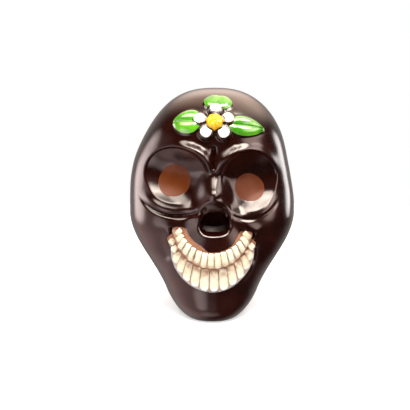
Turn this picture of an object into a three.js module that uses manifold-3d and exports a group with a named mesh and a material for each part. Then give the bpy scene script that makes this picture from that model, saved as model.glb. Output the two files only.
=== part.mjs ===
// A hollow moulded chocolate skull that stands on its jaw: two cast halves bonded at a seam,
// inlaid eyes and gums, two rows of teeth and a flower with leaves on the forehead.
// Millimetres, +Z up. The face looks along -Y; depths are measured from the seam, which is upright.
import * as THREE from 'three';
import Module from 'manifold-3d';

const wasm = await Module();
wasm.setup();

// Outline of the skull, seen from the front
const skullHeight = 144;
const levelCount = 144; // the face is laid out on this many levels, from base to crown
const level = skullHeight / levelCount;
const cheekHalfWidth = 53;
const cheekHeight = 65 * level;
const jawHalfWidth = 27;
const jawHeight = 4 * level; // the jaw starts to widen towards the cheeks here
const baseHalfWidth = 18;
const jawCurveHeight = 16;
const craniumRise = 2.1; // how long the side of the head stays upright
const craniumFullness = 2.5; // how square the crown is

// The cast leans a little: the crown to the right and the brows to the left
const crownLean = 1.7;
const crownLeanHeights = [95 * level, 132 * level];
const browLean = -0.8;
const browLeanHeights = [70 * level, 90 * level];
const browLeanEnd = [95 * level, 118 * level];

// Profile of the skull, seen from the side
const faceDepth = 46;
const baseFrontDepth = 38;
const chinCurveHeight = 10;
const foreheadHeight = 110 * level; // the forehead rounds back above this height
const foreheadFullness = 2.3;
const craniumDepth = 60;
const craniumHeight = 92 * level; // height of the rearmost point
const neckDepth = 26;
const sectionFullness = 2.3; // level sections: 2 is an ellipse, more is squarer
const reliefFade = [0.05, 0.4]; // the relief fades out towards the seam, where forward is 0

// Shells
const wall = 5.5;
const dentSpreadShare = 1.3; // dents of the inner wall, in sizes of the sockets in front of them
const seamGap = 0.2;
const fitGap = 0.3;
const pocketAbove = 6; // pockets are open this far in front of the face
const beadWidth = 5;
const beadThickness = 3;
const beadHollow = 0.9; // the bead's edges stand off the wall, which curves in there

// Raised and sunken areas of the face; a mirrored area lies on both sides
const areas = [
  { x: 0.3, z: 42 * level, reachX: 37, reachZ: 36 * level, rise: 8 }, // muzzle
  { x: 0.6, z: 9 * level, reachX: 24, reachZ: 16 * level, rise: 3 }, // chin
  { x: 38, z: 64 * level, reachX: 24, reachZ: 20 * level, rise: 4.5, mirrored: true }, // cheekbones
  { x: 37, z: 40 * level, reachX: 14, reachZ: 22 * level, rise: -2.5, mirrored: true }, // cheek hollows
  { x: 19, z: 117 * level, reachX: 24, reachZ: 18 * level, rise: 1.5, mirrored: true }, // frontal bosses
];

// Folds and furrows of the face, each along a run of places (x, level)
const folds = [
  { rise: 1.8, spread: 3.6, run: [[-11, 113.5], [-6.2, 110], [-3.8, 104], [-2.6, 98]] }, // frown
  { rise: 1.8, spread: 3.6, run: [[13, 112.5], [7.8, 109], [5.5, 103], [4.3, 98]] },
  { rise: 1.6, spread: 4.2, run: [[-13, 68], [-20, 62], [-28, 58]] }, // beside the nose
  { rise: 1.6, spread: 4.2, run: [[14.5, 68], [21, 62], [29, 57]] },
  { rise: -1.6, spread: 3, run: [[-31, 58], [-32, 50], [-28.5, 42]] }, // corners of the mouth
  { rise: -1.6, spread: 3, run: [[31.5, 56], [32.5, 48], [28.5, 40]] },
];

// Eye sockets, the roll below each, and the inlay on the socket floor
const sockets = [
  { name: 'eye_left', x: -22.6, z: 93.1 * level, reachX: 20, reachZ: 17.8 * level, depth: 9.8,
    spotX: -23.1, spotZ: 88.4 * level, spotRadius: 10.3, rollRise: 1.7, rollReachShare: 1.22 },
  { name: 'eye_right', x: 23.7, z: 89.8 * level, reachX: 18.8, reachZ: 19.2 * level, depth: 9.8,
    spotX: 22.8, spotZ: 84 * level, spotRadius: 9.4, rollRise: 0.7, rollReachShare: 1.14 },
];
const socketEdgeShare = 0.13; // roundness of a socket's edge
const noseSideEdgeShare = 0.5; // the same on the side of the nose, where the socket is also wider
const noseSideGrowthShare = 1.1;
const browRise = 4.4;
const browReachShare = 1.09; // distance from the middle of the socket, in socket radii
const browInnerSpreadShare = 0.6;
const browOuterSpreadShare = 0.25;
const browOutsideShare = 0.15; // how much of a brow is left at its outer end
const rollSpreadShare = 0.12;
const eyeThickness = 2;

// Where those parts of a socket begin and are full: directions from its middle, up or inwards, -1 to 1
const noseSideInward = [-0.1, 0.7];
const noseSideDown = [-0.4, 0.2];
const browUp = [0.1, 0.8];
const browInward = [-0.5, 0.35];
const rollDown = [0.35, 0.75];
const rollInward = [0.35, 0.75];

// Nose bone and the opening below it: a shallow funnel with a deep core
const noseX = 1;
const noseRoot = 98.5 * level;
const noseTip = 81.5 * level;
const noseFoot = 46 * level;
const noseRise = 8.5;
const noseRootHalfWidth = 7;
const noseFootHalfWidth = 19;
const openingX = 1.4;
const openingZ = 64.9 * level;
const openingHalfWidth = 9.6;
const openingHalfHeight = 11.2 * level;
const openingNarrowingShare = 0.12; // how much slimmer the upper end is
const openingFullness = 2.4;
const openingDepth = 5;
const openingEdgeShare = 0.16;
const openingRim = 0.6; // from the funnel's edge to the core, at the sides and below
const openingRoof = 5; // the same above
const coreDepth = 12;
const coreDishShare = 0.7; // how much shallower the core is at its edge

// Tooth rows, on arcs about one centre above the mouth; each edge goes from its middle to its ends
const mouthX = 0.3;
const mouthZ = 63 * level;
const upperRow = {
  name: 'upper', count: 15, first: -78, last: 72,
  innerMiddle: 17.2, innerEnd: 19.4, outerMiddle: 27, outerEnd: 25.6,
  gumFirst: -86, gumLast: 79, crown: 2.4,
};
const lowerRow = {
  name: 'lower', count: 14, first: -66, last: 59,
  innerMiddle: 27.4, innerEnd: 26, outerMiddle: 41.9, outerEnd: 29.8,
  gumFirst: -75, gumLast: 68, crown: 1.8,
};
const gumSplitMiddle = 28; // where the two gums meet, between the rows
const gumSplitEnd = 26;
const gumMargin = 0.4;
const gumStripLeft = 2.4; // bare gum above the teeth of the left half and of the right end
const gumStripLeftAngles = [8, 30];
const gumStripRight = 1.6;
const gumStripRightAngles = [40, 65];
const gumEndAngle = 6; // the ends of a gum are drawn in over this angle
const gumEndDrawShare = 0.3;
const gumDrop = 0.7; // the gums lie this far below the lips
const gumThickness = 1.9;
const toothGap = 0.5;
const toothFullness = 4;
const toothEdge = 0.9;

// Flower on the forehead; petals and leaves are placed from its middle, across and up
const flowerX = 1.55;
const crownToFlower = 18.2;
const petals = [
  { across: 0.5, up: 7 },
  { across: -9, up: 1.5 },
  { across: -5.4, up: -5.6 },
  { across: 5.3, up: -5.8 },
  { across: 7.6, up: 1.8 },
];
const petalHalfWidth = 4;
const petalHalfLength = 4.2;
const petalEggShare = 0.14; // how much wider a petal is at its outer end
const petalThickness = 1.1;
const petalDomingShare = 0.5;
const bossMargin = 1.4; // the dark relief under a petal shows this far all round
const bossRise = 2.1;
const bossDomingShare = 0.5;
const bossFoot = 1.5;
const budRadius = 5.6;
const budRise = 4.2;
const budDomingShare = 0.9;
const budSeat = 0.8; // the flower centre is let in this far
const budKnobs = 8;
const budKnobRise = 0.5;
const leafThickness = 1.7;
const leafDomingShare = 0.6;
const leafFold = 0.6;
const leafFoldSharpness = 8;
const leaves = [
  { name: 'leaf_left', across: -17.2, up: 0.4, turn: 184, length: 19, halfWidth: 9.2, tip: 1.25 },
  { name: 'leaf_top', across: 2, up: 11.3, turn: 80, length: 15, halfWidth: 8.8, tip: 1 },
  { name: 'leaf_right', across: 20.3, up: -2.6, turn: -11, length: 25, halfWidth: 8.2, tip: 1.7 },
];

// Facets
const faceRows = 44;
const crownRows = 10;
const faceColumns = 46;
const shellRows = 15;
const shellCrownRows = 6;
const shellColumns = 18;
const hollowRows = 11;
const hollowCrownRows = 4;
const hollowColumns = 14;
const crownStartShare = 0.82; // rows stand closer above this share of the height
const columnEvennessShare = 0.75; // below 1, columns stand closer at the middle than at the seam
const gumSteps = 24;

// Small steps for slopes, and the limits of the search for the surface
const nearZero = 0.01;
const slopeStep = 0.3;
const turnStep = 0.02;
const searchBelow = 25;
const searchAbove = 12;
const searchHalvings = 40;

const { clamp, smoothstep, lerp, degToRad, radToDeg } = THREE.MathUtils;
const rightAngle = Math.PI / 2;

const darkChocolate = new THREE.MeshStandardMaterial({ color: 0x2a0d09, roughness: 0.25 });
const milkChocolate = new THREE.MeshStandardMaterial({ color: 0x67300f, roughness: 0.25 });
const gumChocolate = new THREE.MeshStandardMaterial({ color: 0xa0653f, roughness: 0.35 });
const whiteChocolate = new THREE.MeshStandardMaterial({ color: 0xf6edd2, roughness: 0.35 });
const petalWhite = new THREE.MeshStandardMaterial({ color: 0xfafaf4, roughness: 0.4 });
const budYellow = new THREE.MeshStandardMaterial({ color: 0xf6dc3a, roughness: 0.35 });
const leafGreen = new THREE.MeshStandardMaterial({ color: 0x78c832, roughness: 0.2 });

function between(value, [start, full]) {
  return smoothstep(value, start, full);
}

// Superellipse arc: 1 at the start of the span and 0 at its end
function roundOff(share, rise, fullness) {
  return Math.max(0, 1 - Math.min(1, share) ** rise) ** (1 / fullness);
}

// Quarter-round at the underside: foot at the base, 1 at the top of the curve
function roundIn(z, curveHeight, foot) {
  const cut = Math.sqrt(1 - foot ** 2) * Math.max(0, 1 - z / curveHeight);
  return Math.sqrt(1 - cut ** 2);
}

// The value where it is positive and 0 where it is negative, rounded between them
function soften(value, rounding) {
  return (value + Math.hypot(value, rounding)) / 2;
}

function leanAt(z) {
  const brow = between(z, browLeanHeights) * (1 - between(z, browLeanEnd));
  return crownLean * between(z, crownLeanHeights) + browLean * brow;
}

function halfWidthAt(z) {
  if (z > cheekHeight) {
    const share = (z - cheekHeight) / (skullHeight - cheekHeight);
    return cheekHalfWidth * roundOff(share, craniumRise, craniumFullness);
  }
  const taper = lerp(jawHalfWidth, cheekHalfWidth, smoothstep(z, jawHeight, cheekHeight));
  return taper * roundIn(z, jawCurveHeight, baseHalfWidth / jawHalfWidth);
}

function faceDepthAt(z) {
  if (z > foreheadHeight) {
    const share = (z - foreheadHeight) / (skullHeight - foreheadHeight);
    return faceDepth * roundOff(share, foreheadFullness, foreheadFullness);
  }
  return faceDepth * roundIn(z, chinCurveHeight, baseFrontDepth / faceDepth);
}

function backDepthAt(z) {
  if (z > craniumHeight) {
    const share = (z - craniumHeight) / (skullHeight - craniumHeight);
    return craniumDepth * roundOff(share, foreheadFullness, foreheadFullness);
  }
  return lerp(neckDepth, craniumDepth, smoothstep(z, 0, craniumHeight));
}

function mound(x, z, area) {
  const spread = ((x - area.x) / area.reachX) ** 2 + ((z - area.z) / area.reachZ) ** 2;
  return spread < 1 ? area.rise * (1 - spread) ** 2 : 0;
}

function swell(distance, spread) {
  return Math.exp(-((distance / spread) ** 2));
}

// Distance of a place from a run of places
function runDistance(x, z, run) {
  const place = new THREE.Vector3(x, 0, z);
  const corners = run.map(([cornerX, count]) => new THREE.Vector3(cornerX, 0, count * level));
  const nearest = new THREE.Vector3();
  let distance = Infinity;
  for (let index = 1; index < corners.length; index++) {
    new THREE.Line3(corners[index - 1], corners[index]).closestPointToPoint(place, true, nearest);
    distance = Math.min(distance, nearest.distanceTo(place));
  }
  return distance;
}

function socketRelief(socket, x, z) {
  const acrossShare = (x - socket.x) / socket.reachX;
  const upShare = (z - socket.z) / socket.reachZ;
  const reach = Math.hypot(acrossShare, upShare);
  const upward = upShare / Math.max(reach, nearZero);
  const inward = -Math.sign(socket.x) * acrossShare / Math.max(reach, nearZero);
  const noseSide = between(inward, noseSideInward) * between(-upward, noseSideDown);
  const inside = 1 - (reach / lerp(1, noseSideGrowthShare, noseSide)) ** 2;
  const rounding = lerp(socketEdgeShare, noseSideEdgeShare, noseSide);
  const bowl = -socket.depth * soften(inside, rounding) / soften(1, rounding);
  const browShare = between(upward, browUp) * lerp(browOutsideShare, 1, between(inward, browInward));
  const browSpread = reach < browReachShare ? browInnerSpreadShare : browOuterSpreadShare;
  const brow = browRise * browShare * swell(reach - browReachShare, browSpread);
  const rollShare = between(-upward, rollDown) * (1 - between(inward, rollInward));
  const roll = socket.rollRise * rollShare * swell(reach - socket.rollReachShare, rollSpreadShare);
  return bowl + brow + roll;
}

function noseRelief(x, z) {
  const above = smoothstep(z, noseTip, noseRoot);
  const below = smoothstep(z, noseFoot, noseTip);
  const along = z > noseTip ? 1 - above : below;
  const spread = clamp((noseRoot - z) / (noseRoot - openingZ), 0, 1);
  const halfWidth = lerp(noseRootHalfWidth, noseFootHalfWidth, spread);
  const across = Math.max(0, 1 - ((x - noseX) / halfWidth) ** 2);
  return noseRise * along * across ** 2;
}

// Funnel of the nose opening, slimmer at the top
function openingRelief(x, z) {
  const up = (z - openingZ) / openingHalfHeight;
  const halfWidth = openingHalfWidth * (1 - openingNarrowingShare * clamp(up, -1, 1));
  const across = Math.abs(x - openingX) / halfWidth;
  const reach = (across ** openingFullness + Math.abs(up) ** openingFullness) ** (1 / openingFullness);
  return -openingDepth * soften(1 - reach ** 2, openingEdgeShare);
}

function areaRelief(x, z) {
  let rise = 0;
  for (const area of areas) {
    rise += mound(x, z, area);
    if (area.mirrored) rise += mound(-x, z, area);
  }
  return rise;
}

function relief(x, z) {
  let rise = noseRelief(x, z) + openingRelief(x, z) + areaRelief(x, z);
  for (const fold of folds) rise += fold.rise * swell(runDistance(x, z, fold.run), fold.spread);
  for (const socket of sockets) rise += socketRelief(socket, x, z);
  return rise;
}

// Softer relief of the inner wall: wide dents behind the sockets and the nose opening
function innerRelief(x, z) {
  let rise = areaRelief(x, z);
  for (const socket of sockets) {
    const reachX = socket.reachX * dentSpreadShare;
    const reachZ = socket.reachZ * dentSpreadShare;
    const dent = -socket.depth - eyeThickness;
    rise += mound(x, z, { x: socket.x, z: socket.z, reachX, reachZ, rise: dent });
  }
  const reachX = openingHalfWidth * 2 * dentSpreadShare;
  const reachZ = openingHalfHeight * 2 * dentSpreadShare;
  return rise + mound(x, z, { x: openingX, z: openingZ, reachX, reachZ, rise: -coreDepth });
}

function sectionPoint(turn, z, depth) {
  const across = Math.sign(turn) * Math.abs(Math.sin(turn)) ** (2 / sectionFullness);
  const forward = Math.max(0, Math.cos(turn));
  const x = leanAt(z) + halfWidthAt(z) * across;
  return new THREE.Vector3(x, depth * forward ** (2 / sectionFullness), z);
}

function frontPoint(turn, z, reliefAt) {
  const point = sectionPoint(turn, z, -faceDepthAt(z));
  const forward = Math.max(0, Math.cos(turn));
  point.y -= reliefAt(point.x, z) * between(forward, reliefFade);
  return point;
}

function facePoint(turn, z) {
  return frontPoint(turn, z, relief);
}

function innerFacePoint(turn, z) {
  return frontPoint(turn, z, innerRelief);
}

function backPoint(turn, z) {
  return sectionPoint(turn, z, backDepthAt(z));
}

// Outward normal of one half, level at the crown and square to y at the seam
function halfNormal(pointAt, side, turn, z) {
  if (z > skullHeight - slopeStep) return new THREE.Vector3(0, 0, 1);
  const acrossStep = pointAt(turn + turnStep, z).sub(pointAt(turn - turnStep, z));
  const upStep = pointAt(turn, z + slopeStep).sub(pointAt(turn, Math.max(0, z - slopeStep)));
  const normal = acrossStep.cross(upStep).multiplyScalar(side);
  if (Math.abs(turn) > rightAngle - turnStep) normal.y = 0;
  return normal.normalize();
}

function levels(rows, topRows) {
  const heights = [];
  const start = crownStartShare * skullHeight;
  for (let row = 0; row < rows; row++) heights.push(start * row / rows);
  for (let row = 0; row <= topRows; row++) {
    heights.push(lerp(start, skullHeight, Math.sin(rightAngle * row / topRows)));
  }
  return heights;
}

function solidFrom(points, triangles) {
  const vertProperties = new Float32Array(points.flatMap((point) => point.toArray()));
  const triVerts = new Uint32Array(triangles);
  return new wasm.Manifold(new wasm.Mesh({ numProp: 3, vertProperties, triVerts }));
}

function solidOf(geometry) {
  const corners = geometry.getAttribute('position');
  const points = [];
  const indexOf = new Map();
  const triangles = [];
  for (const corner of geometry.index.array) {
    const point = new THREE.Vector3().fromBufferAttribute(corners, corner);
    const key = point.toArray().join(' ');
    if (!indexOf.has(key)) indexOf.set(key, points.push(point) - 1);
    triangles.push(indexOf.get(key));
  }
  return solidFrom(points, triangles);
}

// Closed half of the skull: the sculpted surface, the flat base and the flat seam face.
// Side is 1 for the front and -1 for the back; inset moves the surface inwards.
function halfForm(pointAt, side, heights, columns, inset, seamY) {
  const points = [];
  const triangles = [];
  const last = heights.length - 1;
  const stride = columns + 1;
  const addFace = (a, b, c) => triangles.push(...(side > 0 ? [a, b, c] : [a, c, b]));
  for (let row = 0; row <= last; row++) {
    for (let column = 0; column <= (row < last ? columns : 0); column++) {
      const place = 2 * column / columns - 1;
      const crowded = columnEvennessShare * place + (1 - columnEvennessShare) * place ** 3;
      const turn = row < last ? rightAngle * crowded : 0;
      const point = pointAt(turn, heights[row]);
      if (inset) point.addScaledVector(halfNormal(pointAt, side, turn, heights[row]), -inset);
      if (row === last || Math.abs(place) === 1) point.y = seamY;
      points.push(point);
    }
  }
  const crown = last * stride;
  for (let column = 0; column < columns; column++) {
    addFace(0, column + 1, column);
    for (let row = 0; row < last - 1; row++) {
      const corner = row * stride + column;
      const rising = points[corner].distanceTo(points[corner + stride + 1]);
      const falling = points[corner + 1].distanceTo(points[corner + stride]);
      const lowerEnd = rising < falling ? corner + stride + 1 : corner + stride;
      const upperStart = rising < falling ? corner : corner + 1;
      addFace(corner, corner + 1, lowerEnd);
      addFace(upperStart, corner + stride + 1, corner + stride);
    }
    const corner = (last - 1) * stride + column;
    addFace(corner, corner + 1, crown);
  }
  for (let row = 0; row < last - 1; row++) {
    const left = row * stride;
    const right = left + columns;
    addFace(left, left + stride, right);
    addFace(right, left + stride, right + stride);
  }
  addFace(crown - stride, crown, crown - 1);
  return solidFrom(points, triangles);
}

// Space inside one half, a wall's thickness in from its surface and from the underside
function hollow(pointAt, side, inset) {
  const heights = levels(hollowRows, hollowCrownRows);
  const form = halfForm(pointAt, side, heights, hollowColumns, inset, side * seamGap);
  const reach = 2 * (skullHeight + cheekHalfWidth + faceDepth + craniumDepth);
  const belowFloor = new THREE.BoxGeometry(reach, reach, reach);
  belowFloor.translate(0, 0, inset - reach / 2);
  return form.subtract(solidOf(belowFloor));
}

// Depth of the front surface at a place seen from the front
function frontDepth(x, z) {
  const share = Math.abs(x - leanAt(z)) / Math.max(halfWidthAt(z), nearZero);
  const along = roundOff(share, sectionFullness, sectionFullness);
  const reliefShare = between(along ** (sectionFullness / 2), reliefFade);
  return faceDepthAt(z) * along + relief(x, z) * reliefShare;
}

function frontNormal(x, z) {
  const slopeX = (frontDepth(x + slopeStep, z) - frontDepth(x - slopeStep, z)) / (2 * slopeStep);
  const slopeZ = (frontDepth(x, z + slopeStep) - frontDepth(x, z - slopeStep)) / (2 * slopeStep);
  return new THREE.Vector3(-slopeX, -1, -slopeZ).normalize();
}

function isInside(point) {
  if (point.z > skullHeight) return false;
  if (Math.abs(point.x - leanAt(point.z)) > halfWidthAt(point.z)) return false;
  return point.y > -frontDepth(point.x, point.z);
}

// The point of the front surface that lies on a line through the point, along the direction
function dropOnFront(point, direction) {
  let inner = -searchBelow;
  let outer = searchAbove;
  for (let halving = 0; halving < searchHalvings; halving++) {
    const middle = (inner + outer) / 2;
    if (isInside(point.clone().addScaledVector(direction, middle))) inner = middle;
    else outer = middle;
  }
  return point.clone().addScaledVector(direction, inner);
}

// A piece laid on the front surface: it has an outline about its place, turned in degrees, and
// sides square to the surface there; below and above give its two faces, measured from the surface.
function laidPiece({ x, z, turn, outline, rings, sectors, below, above }) {
  const origin = new THREE.Vector3(x, -frontDepth(x, z), z);
  const outward = frontNormal(x, z);
  const level = new THREE.Vector3(0, 0, 1).cross(outward).normalize();
  const along = level.applyAxisAngle(outward, degToRad(turn));
  const aside = outward.clone().cross(along);
  const lowerPoints = [];
  const upperPoints = [];
  const addPair = (ring, angle) => {
    const [forward, sideways] = outline(angle);
    const point = origin.clone().addScaledVector(along, forward * ring);
    const surface = dropOnFront(point.addScaledVector(aside, sideways * ring), outward);
    lowerPoints.push(surface.clone().addScaledVector(outward, below(ring, angle)));
    upperPoints.push(surface.addScaledVector(outward, above(ring, angle)));
  };
  addPair(0, 0);
  for (let ring = 1; ring <= rings; ring++) {
    for (let sector = 0; sector < sectors; sector++) addPair(ring / rings, 2 * Math.PI * sector / sectors);
  }
  const triangles = [];
  const half = lowerPoints.length;
  const at = (ring, sector) => 1 + (ring - 1) * sectors + sector % sectors;
  const addBoth = (a, b, c) => triangles.push(a + half, b + half, c + half, a, c, b);
  for (let sector = 0; sector < sectors; sector++) {
    addBoth(0, at(1, sector), at(1, sector + 1));
    for (let ring = 1; ring < rings; ring++) {
      addBoth(at(ring, sector), at(ring + 1, sector), at(ring + 1, sector + 1));
      addBoth(at(ring, sector), at(ring + 1, sector + 1), at(ring, sector + 1));
    }
    const edge = at(rings, sector);
    const nextEdge = at(rings, sector + 1);
    triangles.push(edge, nextEdge, nextEdge + half, edge, nextEdge + half, edge + half);
  }
  return solidFrom([...lowerPoints, ...upperPoints], triangles);
}

function roundedOutline(halfLength, halfWidth, fullness) {
  const curve = (value) => Math.sign(value) * Math.abs(value) ** (2 / fullness);
  return (angle) => [halfLength * curve(Math.cos(angle)), halfWidth * curve(Math.sin(angle))];
}

// A rounded outline that is wider or slimmer at its far end
function taperedOutline(halfLength, halfWidth, fullness, widening) {
  const plain = roundedOutline(halfLength, halfWidth, fullness);
  return (angle) => {
    const [forward, sideways] = plain(angle);
    return [forward, sideways * (1 + widening * forward / halfLength)];
  };
}

function eyePiece(socket, grown, below, above) {
  const radius = socket.spotRadius + grown;
  return laidPiece({
    x: socket.spotX, z: socket.spotZ, turn: 0, outline: roundedOutline(radius, radius, 2),
    rings: 3, sectors: 20, below: () => below, above: () => above,
  });
}

// Deep core of the nose opening, dished at its bottom
function openingCore() {
  const halfHeight = openingHalfHeight - (openingRoof + openingRim) / 2;
  const halfWidth = openingHalfWidth - openingRim;
  return laidPiece({
    x: openingX, z: openingZ - (openingRoof - openingRim) / 2, turn: 90,
    outline: taperedOutline(halfHeight, halfWidth, openingFullness, -openingNarrowingShare),
    rings: 3, sectors: 20,
    below: (ring) => -coreDepth * (1 - coreDishShare * ring ** 3), above: () => pocketAbove,
  });
}

// Distance of an edge from the mouth's centre, at an angle in degrees from straight down
function edgeAt(middle, end, row, angle) {
  return lerp(middle, end, Math.min(1, (angle / row.last) ** 2));
}

function innerEdge(row, angle) {
  return edgeAt(row.innerMiddle, row.innerEnd, row, angle);
}

function outerEdge(row, angle) {
  return edgeAt(row.outerMiddle, row.outerEnd, row, angle);
}

// Edges of a gum: past the teeth on the lips' side, and to the other gum between the rows
function gumEdges(row, angle) {
  const split = edgeAt(gumSplitMiddle, gumSplitEnd, upperRow, angle);
  let inner = split + fitGap / 2;
  let outer = outerEdge(row, angle) + gumMargin;
  if (row === upperRow) {
    const stripLeft = gumStripLeft * between(-angle, gumStripLeftAngles);
    const stripRight = gumStripRight * between(angle, gumStripRightAngles);
    inner = innerEdge(row, angle) - gumMargin - stripLeft - stripRight;
    outer = split - fitGap / 2;
  }
  const toEnd = clamp(Math.min(angle - row.gumFirst, row.gumLast - angle) / gumEndAngle, 0, 1);
  const draw = gumEndDrawShare * (1 - Math.sqrt(1 - (1 - toEnd) ** 2)) / 2;
  return [lerp(inner, outer, draw), lerp(outer, inner, draw)];
}

function mouthPlace(angle, distance) {
  const turn = degToRad(angle);
  return { x: mouthX + distance * Math.sin(turn), z: mouthZ - distance * Math.cos(turn) };
}

// Curved band under a row of teeth that follows the muzzle
function gumBand(row, grown, below, above) {
  const crossSteps = 2;
  const grownAngle = radToDeg(grown / Math.min(row.innerMiddle, row.innerEnd));
  const first = row.gumFirst - grownAngle;
  const last = row.gumLast + grownAngle;
  const points = [];
  const triangles = [];
  for (let step = 0; step <= gumSteps; step++) {
    const angle = lerp(first, last, step / gumSteps);
    const [inner, outer] = gumEdges(row, angle);
    for (const offset of [below, above]) {
      for (let cross = 0; cross <= crossSteps; cross++) {
        const { x, z } = mouthPlace(angle, lerp(inner - grown, outer + grown, cross / crossSteps));
        const surface = new THREE.Vector3(x, -frontDepth(x, z), z);
        points.push(surface.addScaledVector(frontNormal(x, z), offset));
      }
    }
  }
  const stride = 2 * (crossSteps + 1);
  const loop = [0, 1, 2, 5, 4, 3];
  const addQuad = (a, b, c, d) => triangles.push(a, b, c, a, c, d);
  for (let step = 0; step < gumSteps; step++) {
    for (let corner = 0; corner < loop.length; corner++) {
      const here = step * stride + loop[corner];
      const next = step * stride + loop[(corner + 1) % loop.length];
      addQuad(here, here + stride, next + stride, next);
    }
  }
  addQuad(0, 1, 4, 3);
  addQuad(1, 2, 5, 4);
  const end = gumSteps * stride;
  addQuad(end, end + 3, end + 4, end + 1);
  addQuad(end + 1, end + 4, end + 5, end + 2);
  return solidFrom(points, triangles);
}

function tooth(row, index) {
  const pitch = (row.last - row.first) / (row.count - 1);
  const angle = row.first + pitch * index;
  const inner = innerEdge(row, angle);
  const outer = outerEdge(row, angle);
  const distance = (inner + outer) / 2;
  const halfLength = (outer - inner) / 2;
  const halfWidth = (degToRad(pitch) * distance - toothGap) / 2;
  const seat = fitGap - gumDrop;
  return laidPiece({
    ...mouthPlace(angle, distance), turn: angle - 90,
    outline: taperedOutline(halfLength, halfWidth, toothFullness, halfLength / distance),
    rings: 2, sectors: 12, below: () => seat,
    above: (ring) => seat + lerp(row.crown, toothEdge, ring ** 3),
  });
}

function flowerPlace(offset) {
  return { x: flowerX + offset.across, z: skullHeight - crownToFlower + offset.up };
}

const flowerMiddle = flowerPlace({ across: 0, up: 0 });

// A petal lies away from the middle of the flower, its slim end towards it
function petalPiece(offset, grown, below, above) {
  const normal = frontNormal(flowerMiddle.x, flowerMiddle.z);
  const upAlong = offset.up / Math.hypot(normal.x, normal.y);
  return laidPiece({
    ...flowerPlace(offset), turn: radToDeg(Math.atan2(upAlong, offset.across)),
    outline: taperedOutline(petalHalfLength + grown, petalHalfWidth + grown, 2, petalEggShare),
    rings: 2, sectors: 12, below: () => below, above,
  });
}

function petalBoss(offset, grown) {
  const above = (ring) => bossRise * (1 - bossDomingShare * ring ** 4) + grown;
  return petalPiece(offset, bossMargin + grown, -bossFoot, above);
}

function budPiece(grown, below, above) {
  const radius = budRadius + grown;
  return laidPiece({
    ...flowerMiddle, turn: 0, outline: roundedOutline(radius, radius, 2),
    rings: 3, sectors: 2 * budKnobs, below: () => below, above,
  });
}

// Space of the flower centre
function budPocket() {
  return budPiece(fitGap, -budSeat, () => pocketAbove);
}

function petal(offset) {
  const seat = bossRise + fitGap;
  const above = (ring) => seat + petalThickness * (1 - petalDomingShare * ring ** 2);
  return petalPiece(offset, 0, seat, above).subtract(budPocket());
}

function budHeight(ring, angle) {
  const knob = budKnobRise * Math.cos(budKnobs * angle) * ring * (1 - ring);
  return budRise * Math.sqrt(1 - budDomingShare * ring ** 2) + knob;
}

// Leaf outline: round at the stalk, drawn out to a point at the tip
function leafPiece(leaf) {
  const outline = (angle) => {
    const along = Math.cos(angle);
    const narrowing = ((1 - along) / 2) ** ((leaf.tip - 1) / 2);
    return [leaf.length / 2 * along, leaf.halfWidth * Math.sin(angle) * narrowing];
  };
  const above = (ring, angle) => {
    const fold = leafFold * Math.cos(angle) ** leafFoldSharpness * ring * (1 - ring);
    return fitGap + leafThickness * (1 - leafDomingShare * ring ** 2) - fold;
  };
  let blade = laidPiece({
    ...flowerPlace(leaf), turn: leaf.turn, outline, rings: 3, sectors: 16, below: () => fitGap, above,
  });
  for (const offset of petals) blade = blade.subtract(petalBoss(offset, fitGap));
  return blade;
}

// One side of the seam's inner edge, from the floor to the crown
function seamSide(side) {
  const steps = levels(hollowRows, hollowCrownRows).map((z) => {
    const inward = halfNormal(innerFacePoint, 1, side * rightAngle, z).negate();
    const edge = new THREE.Vector3(leanAt(z) + side * halfWidthAt(z), 0, z);
    return { place: edge.addScaledVector(inward, wall), inward };
  });
  const firstAbove = steps.findIndex((step) => step.place.z > wall);
  const above = steps[firstAbove].place;
  const under = steps[firstAbove - 1].place;
  const corner = under.clone().lerp(above, (wall - under.z) / (above.z - under.z));
  return [{ place: corner, inward: new THREE.Vector3(-side, 0, 1) }, ...steps.slice(firstAbove)];
}

// Bead along the inside of the seam: a rounded section carried round the inner wall and the floor
function seamBead() {
  const path = [...seamSide(1), ...seamSide(-1).slice(0, -1).reverse()];
  const half = beadWidth / 2;
  const near = fitGap + beadHollow;
  const far = fitGap + beadThickness;
  const section = [
    [fitGap, 0], [near, -half], [far - beadHollow, -half],
    [far, 0], [far - beadHollow, half], [near, half],
  ];
  const points = [];
  const triangles = [];
  const count = section.length;
  path.forEach(({ place, inward }, step) => {
    const next = (step + 1) % path.length;
    section.forEach(([depth, y], corner) => {
      points.push(place.clone().addScaledVector(inward, depth).setY(y));
      const here = step * count + corner;
      const beside = step * count + (corner + 1) % count;
      const shift = (next - step) * count;
      triangles.push(here, here + shift, beside + shift, here, beside + shift, beside);
    });
  });
  return solidFrom(points, triangles);
}

function faceHalf() {
  const heights = levels(faceRows, crownRows);
  const form = halfForm(facePoint, 1, heights, faceColumns, 0, -seamGap / 2);
  let shell = form.subtract(hollow(innerFacePoint, 1, wall));
  for (const offset of petals) shell = shell.add(petalBoss(offset, 0));
  shell = shell.subtract(openingCore());
  shell = shell.subtract(budPocket());
  for (const socket of sockets) {
    shell = shell.subtract(eyePiece(socket, fitGap, -eyeThickness - fitGap, pocketAbove));
  }
  for (const row of [upperRow, lowerRow]) {
    shell = shell.subtract(gumBand(row, fitGap, -gumDrop - gumThickness - fitGap, pocketAbove));
  }
  return shell;
}

function backHalf() {
  const heights = levels(shellRows, shellCrownRows);
  const form = halfForm(backPoint, -1, heights, shellColumns, 0, seamGap / 2);
  return form.subtract(hollow(backPoint, -1, wall));
}

const skull = new THREE.Group();

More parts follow.
